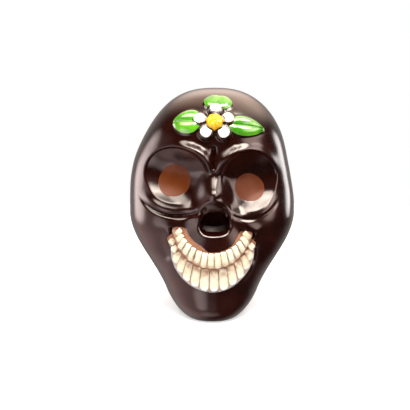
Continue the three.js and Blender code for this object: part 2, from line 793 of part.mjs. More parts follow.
function addNode(name, solid, material) {
  const mesh = solid.getMesh();
  const geometry = new THREE.BufferGeometry();
  geometry.setAttribute('position', new THREE.BufferAttribute(mesh.vertProperties, 3));
  geometry.setIndex(new THREE.BufferAttribute(mesh.triVerts, 1));
  geometry.computeVertexNormals();
  const node = new THREE.Mesh(geometry, material);
  node.name = name;
  skull.add(node);
}

addNode('face_half', faceHalf(), darkChocolate);
addNode('back_half', backHalf(), darkChocolate);
addNode('seam_bead', seamBead(), darkChocolate);
for (const socket of sockets) addNode(socket.name, eyePiece(socket, 0, -eyeThickness, 0), milkChocolate);
for (const row of [upperRow, lowerRow]) {
  addNode(`${row.name}_gum`, gumBand(row, 0, -gumDrop - gumThickness, -gumDrop), gumChocolate);
  for (let index = 0; index < row.count; index++) {
    const number = String(index + 1).padStart(2, '0');
    addNode(`${row.name}_tooth_${number}`, tooth(row, index), whiteChocolate);
  }
}
petals.forEach((offset, index) => addNode(`petal_${index + 1}`, petal(offset), petalWhite));
addNode('flower_centre', budPiece(0, fitGap - budSeat, budHeight), budYellow);
for (const leaf of leaves) addNode(leaf.name, leafPiece(leaf), leafGreen);

// The origin is the middle of the underside's box
const middle = new THREE.Box3().setFromObject(skull).getCenter(new THREE.Vector3());
for (const node of skull.children) node.geometry.translate(-middle.x, -middle.y, 0);

export default skull;
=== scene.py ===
import math
import bpy
import numpy as np
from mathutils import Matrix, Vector


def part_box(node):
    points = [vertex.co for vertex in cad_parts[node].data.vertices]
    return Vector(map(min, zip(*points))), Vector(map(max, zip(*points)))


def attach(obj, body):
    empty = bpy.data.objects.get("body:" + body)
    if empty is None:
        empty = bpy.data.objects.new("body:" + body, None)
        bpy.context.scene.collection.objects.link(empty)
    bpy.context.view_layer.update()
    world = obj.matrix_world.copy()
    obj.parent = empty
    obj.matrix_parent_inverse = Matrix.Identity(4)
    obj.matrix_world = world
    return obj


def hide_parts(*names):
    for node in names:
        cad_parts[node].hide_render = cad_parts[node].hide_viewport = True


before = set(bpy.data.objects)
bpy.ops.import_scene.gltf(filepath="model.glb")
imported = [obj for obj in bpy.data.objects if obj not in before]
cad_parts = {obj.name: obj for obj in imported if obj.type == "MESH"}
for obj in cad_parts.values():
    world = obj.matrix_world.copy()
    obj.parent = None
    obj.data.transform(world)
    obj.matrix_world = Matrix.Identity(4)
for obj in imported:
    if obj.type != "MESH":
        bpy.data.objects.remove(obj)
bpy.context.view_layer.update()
mm = 0.001
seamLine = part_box("face_half")[1][1] / mm + 0.1   # depth of the upright seam, mm
print("frame loaded")

# outline of the skull, mm
skull = {
    "height": 144.0,
    "cheekHalfWidth": 52.98, "cheekHeight": 65.0,
    "jawHalfWidth": 27.0, "jawHeight": 4.0, "baseHalfWidth": 18.0, "jawCurve": 16.0,
    "crownRise": 2.1, "crownFullness": 2.5,
    "crownLean": 1.7, "crownLeanSpan": (95, 132),
    "browLean": -0.8, "browLeanFoot": (70, 90), "browLeanTop": (95, 118),
    "faceDepth": 46.0, "baseFront": 38.0, "chinCurve": 10.0,
    "foreheadHeight": 110.0, "foreheadFullness": 2.3,
    "craniumDepth": 59.9, "craniumHeight": 92.0, "neckDepth": 26.0,
    "sectionFullness": 2.3,
    "reliefStart": (0.05, 0.4),   # the face fades out towards the seam
    "wall": 5.5, "seamGap": 0.03,
}


def smooth(value, low, high):
    share = np.clip((value - low) / (high - low), 0, 1)
    return share * share * (3 - 2 * share)


def mix(a, b, share):
    return a + (b - a) * share


def roundOff(share, rise, fullness):
    return np.maximum(0, 1 - np.clip(share, 0, 1) ** rise) ** (1 / fullness)


def roundIn(z, curve, foot):
    cut = math.sqrt(1 - foot ** 2) * np.maximum(0, 1 - z / curve)
    return np.sqrt(1 - cut ** 2)


# the crown leans a little to one side and the brows to the other
def leanAt(z):
    s = skull
    crown = s["crownLean"] * smooth(z, *s["crownLeanSpan"])
    return crown + s["browLean"] * smooth(z, *s["browLeanFoot"]) * (1 - smooth(z, *s["browLeanTop"]))


def halfWidthAt(z):
    s = skull
    upper = s["cheekHalfWidth"] * roundOff((z - s["cheekHeight"]) / (s["height"] - s["cheekHeight"]),
                                           s["crownRise"], s["crownFullness"])
    taper = mix(s["jawHalfWidth"], s["cheekHalfWidth"], smooth(z, s["jawHeight"], s["cheekHeight"]))
    lower = taper * roundIn(z, s["jawCurve"], s["baseHalfWidth"] / s["jawHalfWidth"])
    return np.where(z > s["cheekHeight"], upper, lower)


def faceDepthAt(z):
    s = skull
    share = (z - s["foreheadHeight"]) / (s["height"] - s["foreheadHeight"])
    upper = s["faceDepth"] * roundOff(share, s["foreheadFullness"], s["foreheadFullness"])
    lower = s["faceDepth"] * roundIn(z, s["chinCurve"], s["baseFront"] / s["faceDepth"])
    return np.where(z > s["foreheadHeight"], upper, lower)


def backDepthAt(z):
    s = skull
    share = (z - s["craniumHeight"]) / (s["height"] - s["craniumHeight"])
    upper = s["craniumDepth"] * roundOff(share, s["foreheadFullness"], s["foreheadFullness"])
    lower = mix(s["neckDepth"], s["craniumDepth"], smooth(z, 0, s["craniumHeight"]))
    return np.where(z > s["craniumHeight"], upper, lower)


# broad swellings and hollows: x, z, reach across, reach up, rise
swellings = [
    (0.3, 42, 37, 36, 8),          # muzzle
    (0.6, 9, 24, 16, 3),           # chin
    (38, 64, 24, 20, 4.5), (-38, 64, 24, 20, 4.5),        # cheekbones
    (37, 40, 14, 22, -2.5), (-37, 40, 14, 22, -2.5),      # cheek hollows
    (19, 117, 24, 18, 1.5), (-19, 117, 24, 18, 1.5),      # frontal bosses
    (0.9, 81.5, 4.5, 3.6, 1.25),   # tip of the nose bone
]
# folds and creases along a run of points: points (x, z), rise, spread
creases = [
    ([(0.7, 110), (0.8, 104), (0.9, 98)], -2.2, 1.1),                       # frown crease
    ([(-13, 68), (-20, 62), (-28, 58)], 1.6, 4.2),                          # folds beside the nose
    ([(14.5, 68), (21, 62), (29, 57)], 1.6, 4.2),
    ([(-31, 58), (-32, 50), (-28.5, 42)], -0.9, 3.0),                       # corners of the mouth
    ([(31.5, 56), (32.5, 48), (28.5, 40)], -1.6, 3.0),
    ([(-12.0, 114.5), (-5.6, 110), (-2.8, 104), (-1.6, 98)], 2.2, 2.7),     # frown folds
    ([(14.0, 113.5), (7.2, 109), (4.5, 103), (3.3, 98)], 2.2, 2.7),
]
frownFolds = [creases[-2][0], creases[-1][0]]   # these two fade out at the top
frownFade = {"start": 103, "belowTop": 0.5}
sockets = {
    "eye_left": {"x": -22.6, "z": 93.1, "reachX": 20.0, "reachZ": 17.8, "depth": 9.6,
                 "spotX": -23.1, "spotZ": 88.4, "spotRadius": 10.3, "spotWide": 1.05,
                 "rollRise": 1.2, "rollReach": 1.22, "creaseRise": -1.7, "creaseReach": 1.43,
                 "browOuter": 0.2, "floorLow": 1.0},
    "eye_right": {"x": 23.0, "z": 89.8, "reachX": 17.7, "reachZ": 19.2, "depth": 8.4,
                  "spotX": 22.8, "spotZ": 84.4, "spotRadius": 8.9, "spotWide": 1.13,
                  "rollRise": 0.7, "rollReach": 1.14, "creaseRise": -0.9, "creaseReach": 1.25,
                  "browOuter": 0.8, "floorLow": 0.5},
}
# shared by both sockets; spans are shares of the way up or towards the nose
socketEdge = {"growNose": 1.15, "noseSide": (-0.1, 0.7), "noseBelow": (-0.4, 0.2),
              "floorHigh": 0.45, "floorTurn": (-0.4, 0.6), "round": 0.035, "roundNose": 0.22, "turnIn": 0.45,
              "browRise": 3.4, "browInner": 1.5, "browFlat": 1.06, "browFlatOuter": 0.99, "browSpread": 0.165,
              "browSide": (-0.2, 0.6), "browAbove": (0.1, 0.8),
              "lipDepth": 1.9, "lipReach": (0.93, 1.03), "lipAbove": (-0.3, 0.6),
              "rollSpread": 0.12, "creaseSpread": 0.06, "foldBelow": (0.5, 0.85), "foldInner": (0.35, 0.75)}
nose = {"x": 1.0, "root": 98.5, "tip": 81.5, "foot": 46.0, "rise": 8.5,
        "rootHalfWidth": 7.0, "footHalfWidth": 19.0,
        "openX": 1.4, "openZ": 67.1, "openHalfWidth": 9.2, "openHalfHeight": 10.2,
        "openNarrowing": 0.10, "narrowReach": 1.2, "openSquare": (2.3, 3.0), "squareTurn": (-0.3, 0.5),
        "openDepth": 4.6, "openEdge": 0.05, "openFlat": 12, "roofFade": (0.1, 1.0),
        "coreDrop": 3.0, "coreShare": (0.92, 0.69), "coreDepth": 12.0, "coreEdge": 0.05, "coreFlat": 8,
        "ledgeDepth": 1.8, "ledgeReach": (0.95, 1.17), "ledgeBelow": (0.1, 0.6),
        "rimRise": 0.7, "rimReach": 1.13, "rimSpread": 0.10, "rimAbove": (-0.7, 0.1),
        "crestRise": 0.45, "crestSpread": 1.5,
        "crestFoot": (-2, 4), "crestLength": 7, "crestEnd": 2}   # from the tip, and short of the root
# how the inside of the wall follows the face, more loosely
hollow = {"socketReach": 1.35, "socketMargin": 3, "noseReach": 2.6}


def swell(distance, spread):
    return np.exp(-(distance / spread) ** 2)


def soften(value, rounding):
    return (value + np.hypot(value, rounding)) / 2


def mound(x, z, area):
    spread = ((x - area[0]) / area[2]) ** 2 + ((z - area[1]) / area[3]) ** 2
    return area[4] * np.maximum(0, 1 - spread) ** 2


# a run of points with its corners cut off twice
def smoothRun(run):
    for cutting in range(2):
        cut = [run[0]]
        for (ax, az), (bx, bz) in zip(run, run[1:]):
            cut += [(mix(ax, bx, 0.25), mix(az, bz, 0.25)), (mix(ax, bx, 0.75), mix(az, bz, 0.75))]
        run = cut + [run[-1]]
    return run


def alongRun(x, z, run):
    nearest = np.full(np.shape(x), 1e9)
    for (ax, az), (bx, bz) in zip(run, run[1:]):
        length = (bx - ax) ** 2 + (bz - az) ** 2
        share = np.clip(((x - ax) * (bx - ax) + (z - az) * (bz - az)) / length, 0, 1)
        nearest = np.minimum(nearest, np.hypot(x - ax - share * (bx - ax), z - az - share * (bz - az)))
    return nearest


def socketRelief(socket, x, z):
    e = socketEdge
    dx = (x - socket["x"]) / socket["reachX"]
    dz = (z - socket["z"]) / socket["reachZ"]
    reach = np.hypot(dx, dz)
    upward = dz / np.maximum(reach, 0.01)
    inward = -np.sign(socket["x"]) * dx / np.maximum(reach, 0.01)
    nearNose = smooth(inward, *e["noseSide"]) * smooth(-upward, *e["noseBelow"])
    floor = mix(socket["floorLow"], e["floorHigh"], smooth(upward, *e["floorTurn"]))
    edge = np.hypot(1, floor)
    fall = (edge - np.hypot(reach / mix(1, e["growNose"], nearNose), floor)) / (edge - floor)
    rounding = mix(e["round"], e["roundNose"], nearNose)
    inside = soften(fall, rounding) / soften(1, rounding)
    lip = e["lipDepth"] * (1 - smooth(reach, *e["lipReach"])) * smooth(dz, *e["lipAbove"])
    turned = 1 + e["turnIn"] * np.clip(np.sign(socket["x"]) * dx, -1, 1)
    bowl = -socket["depth"] * inside * turned - lip
    nearBrow = smooth(inward, *e["browSide"])
    brow = e["browRise"] * smooth(upward, *e["browAbove"])
    brow = brow * mix(socket["browOuter"], e["browInner"], nearBrow)
    pastBrow = np.maximum(0, reach - mix(e["browFlatOuter"], e["browFlat"], nearBrow))
    brow = brow * (1 - inside) * swell(pastBrow, e["browSpread"])
    below = smooth(-upward, *e["foldBelow"]) * (1 - smooth(inward, *e["foldInner"]))
    roll = socket["rollRise"] * swell(reach - socket["rollReach"], e["rollSpread"])
    crease = socket["creaseRise"] * swell(reach - socket["creaseReach"], e["creaseSpread"])
    return bowl + brow + below * (roll + crease)


# share of the nose opening's outline reached by a place, and how far up it lies
def openingReach(x, z, drop=0.0, shareX=1.0, shareZ=1.0):
    up = (z - nose["openZ"] + drop) / (nose["openHalfHeight"] * shareZ)
    narrowing = nose["openNarrowing"] * np.clip(up, -nose["narrowReach"], nose["narrowReach"])
    across = np.abs(x - nose["openX"]) / (nose["openHalfWidth"] * shareX * (1 - narrowing))
    square = mix(*nose["openSquare"], smooth(-up, *nose["squareTurn"]))
    return (across ** square + np.abs(up) ** square) ** (1 / square), up


def noseRelief(x, z):
    n = nose
    along = np.where(z > n["tip"], 1 - smooth(z, n["tip"], n["root"]), smooth(z, n["foot"], n["tip"]))
    spread = np.clip((n["root"] - z) / (n["root"] - n["openZ"]), 0, 1)
    halfWidth = mix(n["rootHalfWidth"], n["footHalfWidth"], spread)
    bridge = n["rise"] * along * np.maximum(0, 1 - ((x - n["x"]) / halfWidth) ** 2) ** 2
    reach, up = openingReach(x, z)
    hole = -n["openDepth"] * soften(1 - np.minimum(reach, 2) ** n["openFlat"], n["openEdge"])
    hole = hole * (1 - smooth(up, *n["roofFade"]))
    coreReach = openingReach(x, z, n["coreDrop"], *n["coreShare"])[0]
    core = -n["coreDepth"] * soften(1 - np.minimum(coreReach, 2) ** n["coreFlat"], n["coreEdge"])
    ledge = -n["ledgeDepth"] * smooth(-up, *n["ledgeBelow"]) * (1 - smooth(reach, *n["ledgeReach"]))
    rim = n["rimRise"] * swell(reach - n["rimReach"], n["rimSpread"]) * smooth(up, *n["rimAbove"])
    crest = n["crestRise"] * swell(x - n["x"], n["crestSpread"])
    crestFoot = [n["tip"] + step for step in n["crestFoot"]]
    crestTop = (n["tip"] + n["crestLength"], n["root"] - n["crestEnd"])
    crest = crest * smooth(z, *crestFoot) * (1 - smooth(z, *crestTop))
    return bridge + hole + core + ledge + rim + crest


def faceRelief(x, z):
    rise = noseRelief(x, z)
    for area in swellings:
        rise = rise + mound(x, z, area)
    for run, height, spread in creases:
        fadeEnd = run[0][1] - frownFade["belowTop"]
        fade = 1 - smooth(z, frownFade["start"], fadeEnd) if run in frownFolds else 1
        rise = rise + height * fade * swell(alongRun(x, z, smoothRun(run)), spread)
    for socket in sockets.values():
        rise = rise + socketRelief(socket, x, z)
    return rise


def innerRelief(x, z):
    rise = 0 * x
    for area in swellings:
        rise = rise + mound(x, z, area)
    h = hollow
    for s in sockets.values():
        rise = rise + mound(x, z, (s["x"], s["z"], s["reachX"] * h["socketReach"],
                                   s["reachZ"] * h["socketReach"], -s["depth"] - h["socketMargin"]))
    return rise + mound(x, z, (nose["openX"], nose["openZ"], nose["openHalfWidth"] * h["noseReach"],
                               nose["openHalfHeight"] * h["noseReach"], -nose["openDepth"]))


def reliefShare(forward):
    return smooth(forward, *skull["reliefStart"])


# x and depth of a level section, turned from the middle line, and how far it faces forward
def sectionPoints(turn, z, depthAt, inset):
    power = 2 / skull["sectionFullness"]
    forward = np.maximum(0, np.cos(turn))
    x = np.maximum(0, halfWidthAt(z) - inset) * np.sign(turn) * np.abs(np.sin(turn)) ** power
    return x + leanAt(z), np.maximum(0, depthAt(z) - inset) * forward ** power, forward


def frontPoints(turn, z, relief, inset):
    x, depth, forward = sectionPoints(turn, z, faceDepthAt, inset)
    return x, -depth - relief(x, z) * reliefShare(forward), z


# the cranium is plain, so no relief is added
def backPoints(turn, z, relief, inset):
    x, depth, forward = sectionPoints(turn, z, backDepthAt, inset)
    return x, depth, z


# height of the finished front over a place seen from the front, and its normal
def frontDepth(x, z):
    s = skull
    share = np.abs(x - leanAt(z)) / np.maximum(halfWidthAt(z), 0.01)
    along = roundOff(share, s["sectionFullness"], s["sectionFullness"])
    return faceDepthAt(z) * along + faceRelief(x, z) * reliefShare(along ** (s["sectionFullness"] / 2))


def frontNormal(x, z):
    step = 0.3   # mm
    slopeX = (frontDepth(x + step, z) - frontDepth(x - step, z)) / (2 * step)
    slopeZ = (frontDepth(x, z + step) - frontDepth(x, z - step)) / (2 * step)
    normal = np.stack([-slopeX, -np.ones_like(slopeX), -slopeZ], -1)
    return normal / np.linalg.norm(normal, axis=-1, keepdims=True)


# a resting place on the front: origin, outward, along (turned in degrees) and aside
def restingPlace(x, z, turn):
    x, z = np.array(float(x)), np.array(float(z))
    origin = np.array([float(x), -float(frontDepth(x, z)), float(z)])
    outward = frontNormal(x, z)
    level = np.cross([0, 0, 1], outward)
    level /= np.linalg.norm(level)
    angle = math.radians(turn)
    along = math.cos(angle) * level + math.sin(angle) * np.cross(outward, level)
    return origin, outward, along, np.cross(outward, along)


# how far in and out the surface is looked for, mm
seek = {"inward": -25.0, "outward": 12.0, "halvings": 40}


def dropOnFront(points, direction):
    inner = np.full(len(points), seek["inward"])
    outer = np.full(len(points), seek["outward"])
    for halving in range(seek["halvings"]):
        middle = (inner + outer) / 2
        p = points + middle[:, None] * direction
        z = np.minimum(p[:, 2], skull["height"])
        inside = (p[:, 2] < skull["height"]) & (np.abs(p[:, 0] - leanAt(z)) < halfWidthAt(z))
        inside &= p[:, 1] > -frontDepth(p[:, 0], z)
        inner = np.where(inside, middle, inner)
        outer = np.where(inside, outer, middle)
    return points + inner[:, None] * direction


# modelling helpers
def deselectAll():
    if bpy.context.mode != "OBJECT":
        bpy.ops.object.mode_set(mode="OBJECT")
    bpy.ops.object.select_all(action="DESELECT")


def readCoords(obj):
    coords = np.empty(len(obj.data.vertices) * 3)
    obj.data.vertices.foreach_get("co", coords)
    return coords.reshape(-1, 3)


def placeCoords(obj, points):
    metres = (np.asarray(points) + [0, seamLine, 0]) * mm
    obj.data.vertices.foreach_set("co", metres.ravel())
    obj.data.update()


def closeMesh(obj, angle):
    deselectAll()
    obj.select_set(True)
    bpy.context.view_layer.objects.active = obj
    bpy.ops.object.mode_set(mode="EDIT")
    bpy.ops.mesh.select_all(action="SELECT")
    bpy.ops.mesh.remove_doubles(threshold=2e-6)
    bpy.ops.mesh.dissolve_degenerate(threshold=1e-7)
    bpy.ops.mesh.select_all(action="SELECT")
    bpy.ops.mesh.normals_make_consistent(inside=False)
    bpy.ops.object.mode_set(mode="OBJECT")
    bpy.ops.object.shade_smooth_by_angle(angle=math.radians(angle))


def finishPiece(obj, name, node, material):
    obj.name = name
    obj.data.name = name
    obj.data.materials.clear()
    obj.data.materials.append(material)
    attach(obj, "root")
    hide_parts(node)


def addFloatAttribute(obj, name, values):
    attribute = obj.data.attributes.new(name, "FLOAT", "POINT")
    attribute.data.foreach_set("value", np.asarray(values, dtype=np.float32))


# materials
def newMaterial(name, roughness, specular=0.5):
    material = bpy.data.materials.new(name)
    material.use_nodes = True
    shader = material.node_tree.nodes["Principled BSDF"]
    shader.inputs["Roughness"].default_value = roughness
    shader.inputs["Specular IOR Level"].default_value = specular
    return material, material.node_tree, shader


def objectNoise(tree, scale, detail):
    coords = tree.nodes.new("ShaderNodeTexCoord")
    noise = tree.nodes.new("ShaderNodeTexNoise")
    noise.inputs["Scale"].default_value = scale
    noise.inputs["Detail"].default_value = detail
    tree.links.new(coords.outputs["Object"], noise.inputs["Vector"])
    return noise


def ramp(tree, source, stops):
    node = tree.nodes.new("ShaderNodeValToRGB")
    tree.links.new(source, node.inputs["Fac"])
    elements = node.color_ramp.elements
    while len(elements) < len(stops):
        elements.new(0.5)
    for element, (position, colour) in zip(elements, stops):
        element.position = position
        element.color = (*colour, 1)
    return node


def mapRange(tree, source, fromLow, fromHigh, toLow, toHigh):
    node = tree.nodes.new("ShaderNodeMapRange")
    tree.links.new(source, node.inputs["Value"])
    for socketName, value in (("From Min", fromLow), ("From Max", fromHigh),
                              ("To Min", toLow), ("To Max", toHigh)):
        node.inputs[socketName].default_value = value
    return node


def addBump(tree, shader, height, strength, distance):
    bump = tree.nodes.new("ShaderNodeBump")
    bump.inputs["Strength"].default_value = strength
    bump.inputs["Distance"].default_value = distance
    tree.links.new(height, bump.inputs["Height"])
    tree.links.new(bump.outputs["Normal"], shader.inputs["Normal"])


# a mix of two colours by a share; a colour is a value or another node's output
def blend(tree, share, first, second):
    node = tree.nodes.new("ShaderNodeMix")
    node.data_type = "RGBA"
    for source, index in ((share, 0), (first, 6), (second, 7)):
        if isinstance(source, tuple):
            node.inputs[index].default_value = (*source, 1)
        else:
            tree.links.new(source, node.inputs[index])
    return node.outputs[2]


def castChocolate(name, deep, light, roughLow, roughHigh, specular=0.5):
    material, tree, shader = newMaterial(name, roughLow, specular)
    tone = objectNoise(tree, scale=60, detail=5)
    colour = ramp(tree, tone.outputs["Fac"], [(0.35, deep), (0.7, light)])
    tree.links.new(colour.outputs["Color"], shader.inputs["Base Color"])
    gloss = objectNoise(tree, scale=38, detail=3)
    gloss = mapRange(tree, gloss.outputs["Fac"], 0.35, 0.7, roughLow, roughHigh)
    tree.links.new(gloss.outputs["Result"], shader.inputs["Roughness"])
    uneven = objectNoise(tree, scale=210, detail=3)
    addBump(tree, shader, uneven.outputs["Fac"], strength=0.05, distance=0.0006)
    return material


def readAttribute(tree, name):
    attribute = tree.nodes.new("ShaderNodeAttribute")
    attribute.attribute_name = name
    return attribute.outputs["Fac"]


# the gum's own colour, smeared with white between the teeth and greyed at its lower margin
def smearedGum(material):
    tree = material.node_tree
    shader = tree.nodes["Principled BSDF"]
    plain = shader.inputs["Base Color"].links[0].from_socket
    colour = blend(tree, readAttribute(tree, "smear"), plain, (0.42, 0.29, 0.20))
    colour = blend(tree, readAttribute(tree, "film"), colour, (0.40, 0.40, 0.39))
    tree.links.new(colour, shader.inputs["Base Color"])


# white chocolate that turns brown at the sides and ends of a tooth: partly dark chocolate showing through
# thin white, partly painted shade in the grooves between ribs and in the gap between the rows
def toothChocolate():
    material, tree, shader = newMaterial("white_chocolate", 0.34)
    tone = objectNoise(tree, scale=170, detail=4)
    cream = ramp(tree, tone.outputs["Fac"], [(0.3, (0.60, 0.51, 0.32)), (0.65, (0.72, 0.66, 0.49))])
    thin_and_shade = readAttribute(tree, "thin_and_shade")
    patch = objectNoise(tree, scale=330, detail=4)
    share = tree.nodes.new("ShaderNodeMath")
    share.operation = "MULTIPLY"
    tree.links.new(thin_and_shade, share.inputs[0])
    patchShare = mapRange(tree, patch.outputs["Fac"], 0.32, 0.66, 0.3, 1.1)
    tree.links.new(patchShare.outputs["Result"], share.inputs[1])
    clouded = blend(tree, readAttribute(tree, "film"), cream.outputs["Color"], (0.66, 0.68, 0.66))
    # the brown mixed in here is painted shade of the grooves and of the gap between the rows, partly dark
    # chocolate under thin white
    colour = blend(tree, share.outputs[0], clouded, (0.25, 0.135, 0.088))
    tree.links.new(colour, shader.inputs["Base Color"])
    addBump(tree, shader, patch.outputs["Fac"], strength=0.12, distance=0.0004)
    return material


def sugarPaint(name, deep, light, roughness, scale, bump, specular=0.5):
    material, tree, shader = newMaterial(name, roughness, specular)
    tone = objectNoise(tree, scale, detail=4)
    colour = ramp(tree, tone.outputs["Fac"], [(0.3, deep), (0.68, light)])
    tree.links.new(colour.outputs["Color"], shader.inputs["Base Color"])
    addBump(tree, shader, tone.outputs["Fac"], strength=bump, distance=0.0006)
    return material


darkChocolate = castChocolate(
    "dark_chocolate", (0.0085, 0.0012, 0.0006), (0.017, 0.0025, 0.0012), 0.15, 0.22)
milkChocolate = castChocolate(
    "milk_chocolate", (0.082, 0.0160, 0.0022), (0.112, 0.0245, 0.0042), 0.34, 0.44, 0.15)
gumChocolate = castChocolate(
    "gum_chocolate", (0.24, 0.085, 0.038), (0.42, 0.19, 0.10), 0.30, 0.42)
smearedGum(gumChocolate)
whiteChocolate = toothChocolate()
petalWhite = sugarPaint("petal_white", (0.62, 0.58, 0.46), (0.74, 0.74, 0.71), 0.32, 210, 0.14)
flowerYellow = sugarPaint("flower_yellow", (0.66, 0.20, 0.004), (0.80, 0.62, 0.016), 0.22, 190, 0.25)
leafGreen = sugarPaint("leaf_green", (0.026, 0.165, 0.005), (0.105, 0.38, 0.015), 0.15, 120, 0.10, 1.0)
print("materials made")

# flower and mouth layout
flower = {"x": 1.55, "z": 125.8,
          "petals": [(0.5, 7.0), (-9.0, 1.5), (-5.4, -5.6), (5.3, -5.8), (7.6, 1.8)],   # across, up
          "halfWidth": 3.5, "halfLength": 3.8, "egg": 0.16, "thickness": 1.3, "dome": 0.93, "domePower": 2.4,
          "bossMargin": 1.7, "bossRise": 2.1, "bossEdge": (0.78, 1.08), "seat": 0.15, "budGap": 0.3,
          "budRadius": 5.7, "budFoot": 0.8, "budUnder": 0.5, "budRise": 3.9, "budDome": 0.9,
          "budEdge": 0.94, "budDents": [(0.035, 7, 0), (0.025, 11, 1)],   # depth, how many, start
          "budBossRise": 1.0, "budBossMargin": 0.6, "budBossEdge": (0.8, 1.1),
          "knobs": 17, "knobRise": 1.1, "knobReach": 1.1}
leaves = {   # across and up from the flower
    "leaf_left": {"across": -17.2, "up": 0.4, "turn": 184, "length": 19, "halfWidth": 9.2, "tip": 1.25},
    "leaf_top": {"across": 2.0, "up": 11.3, "turn": 80, "length": 15, "halfWidth": 8.8, "tip": 1.0},
    "leaf_right": {"across": 20.3, "up": -2.6, "turn": -11, "length": 25, "halfWidth": 8.2, "tip": 1.7},
}
leafForm = {"thickness": 1.9, "fold": 0.8, "edgeFall": 0.7, "edgePower": 6,
            "bossRise": 0.7, "bossEdge": (0.95, 1.12), "under": 0.3}
eyeForm = {"rise": 0.06, "edgeFall": 0.05, "edgePower": 8, "under": 0.3, "depth": 1.5, "depthPower": 6,
           "pocket": 1.9, "pocketEdge": (1.4, 0.4)}
mouth = {"x": 0.3, "z": 63.0, "splitMiddle": 28.0, "splitEnd": 26.0,
         "endSpan": 6, "margin": 0.4,
         "gumLeft": 2.4, "gumLeftSpan": (8, 30), "gumRight": 1.6, "gumRightSpan": (40, 65),
         "gumDrop": 0.7, "gumProud": 0.05, "gumEdge": 1.2, "gumThickness": 1.9, "endFall": 0.4,
         "recess": 2.6, "recessInset": 0.2, "recessLeast": 0.25,
         "rimRise": 0.9, "rimAway": 1.0, "rimSpread": 0.8, "rimStart": (18, 34), "rimEnd": (56, 70)}
# brown: how strongly the ribs' sides are darkened with painted groove shade
rows = {
    "upper": {"count": 15, "first": -78, "last": 72, "inner": (17.2, 19.4), "outer": (27.0, 25.6),
              "gum": (-85, 78), "gumEnd": 23.0, "crown": 2.55,
              "longer": 0.0, "brown": 0.55, "smearFade": 1.5},
    "lower": {"count": 14, "first": -66, "last": 59, "inner": (27.4, 26.0), "outer": (41.9, 29.8),
              "gum": (-74, 67), "gumEnd": 28.0, "crown": 2.0,
              "longer": 0.35, "brown": 0.3, "smearFade": 7.0},
}


def petalPlace(index):
    across, up = flower["petals"][index]
    normal = frontNormal(np.array(flower["x"]), np.array(flower["z"]))
    turn = math.degrees(math.atan2(up / math.hypot(normal[0], normal[1]), across))
    return flower["x"] + across, flower["z"] + up, turn


def leafPlace(leaf):
    return flower["x"] + leaf["across"], flower["z"] + leaf["up"], leaf["turn"]


def rowEdge(ends, row, angle):
    return mix(ends[0], ends[1], np.minimum(1, (angle / row["last"]) ** 2))


# edges of a gum, drawn together into a round end at both corners of the mouth
def gumEdges(name, angle):
    m = mouth
    split = rowEdge((m["splitMiddle"], m["splitEnd"]), rows["upper"], angle)
    if name == "upper":
        strip = m["margin"] + m["gumLeft"] * smooth(-angle, *m["gumLeftSpan"])
        strip = strip + m["gumRight"] * smooth(angle, *m["gumRightSpan"])
        low, high = rowEdge(rows["upper"]["inner"], rows["upper"], angle) - strip, split
    else:
        low, high = split, rowEdge(rows["lower"]["outer"], rows["lower"], angle) + m["margin"]
    first, last = rows[name]["gum"]
    toEnd = np.minimum(angle - first, last - angle) / m["endSpan"]
    draw = 1 - np.sqrt(np.maximum(0, 1 - np.clip(1 - toEnd, 0, 1) ** 2))
    return mix(low, rows[name]["gumEnd"], draw), mix(high, rows[name]["gumEnd"], draw)


def mouthPlace(angle, distance):
    turn = np.radians(angle)
    return mouth["x"] + distance * np.sin(turn), mouth["z"] - distance * np.cos(turn)


def leafOutline(leaf, angle):
    along = np.cos(angle)
    narrowing = (np.maximum(0, 1 - along) / 2) ** ((leaf["tip"] - 1) / 2)
    return leaf["length"] / 2 * along, leaf["halfWidth"] * np.sin(angle) * narrowing


# share of a leaf's outline reached by a place given along and aside
def leafReach(leaf, along, aside):
    share = np.clip(2 * along / leaf["length"], -0.999, 0.999)
    narrowing = (np.maximum(0, 1 - share) / 2) ** ((leaf["tip"] - 1) / 2)
    halfWidth = leaf["halfWidth"] * np.sqrt(1 - share ** 2) * narrowing
    overrun = np.maximum(0, np.abs(2 * along / leaf["length"]) - 0.999)
    return np.abs(aside) / np.maximum(halfWidth, 0.05) + 20 * overrun


